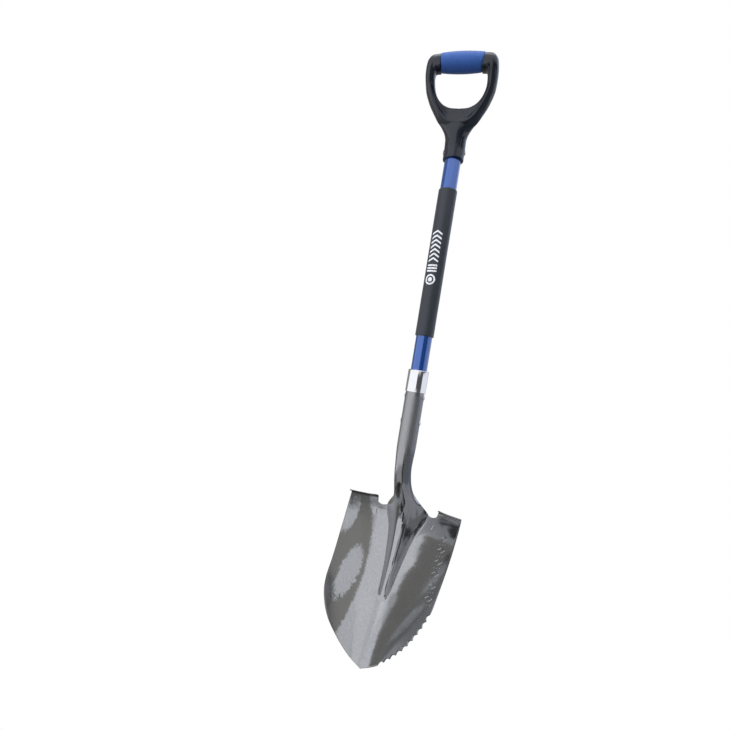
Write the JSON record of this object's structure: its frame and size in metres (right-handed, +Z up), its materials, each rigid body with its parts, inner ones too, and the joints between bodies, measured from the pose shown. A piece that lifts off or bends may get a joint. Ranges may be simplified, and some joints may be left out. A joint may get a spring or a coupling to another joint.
{
  "type": "round point shovel",
  "caption": "Round point digging shovel: stamped steel blade with a toothed edge, painted tube handle, foam sleeve and D-grip.",
  "frame": {"origin": "under the middle of the D-grip's bar, where the shovel hangs on a hook", "axes": "+Z up along the handle towards the grip, -Y out of the blade's hollow front, +X towards the blade's toothed edge"},
  "size_m": [0.2165, 0.1645, 1.0262],
  "materials": {
    "coated_steel": "clear-coated steel",
    "rivet_steel": "satin",
    "chrome": "polished",
    "blue_paint": "gloss paint",
    "foam": "matt closed-cell foam",
    "black_plastic": "satin",
    "blue_soft": "matt soft-touch",
    "core_wood": "bare ash"
  },
  "bodies": {
    "root": {"blade": "coated_steel", "ferrule": "chrome", "handle_tube": "blue_paint", "foam_sleeve": "foam", "d_grip_body": "black_plastic", "grip_bar_sleeve": "blue_soft", "socket_core_plug": "core_wood", "grip_core_plug": "core_wood", "socket_rivet_upper": "rivet_steel", "socket_rivet_lower": "rivet_steel", "grip_rivet": "rivet_steel"}
  },
  "joints": []
}
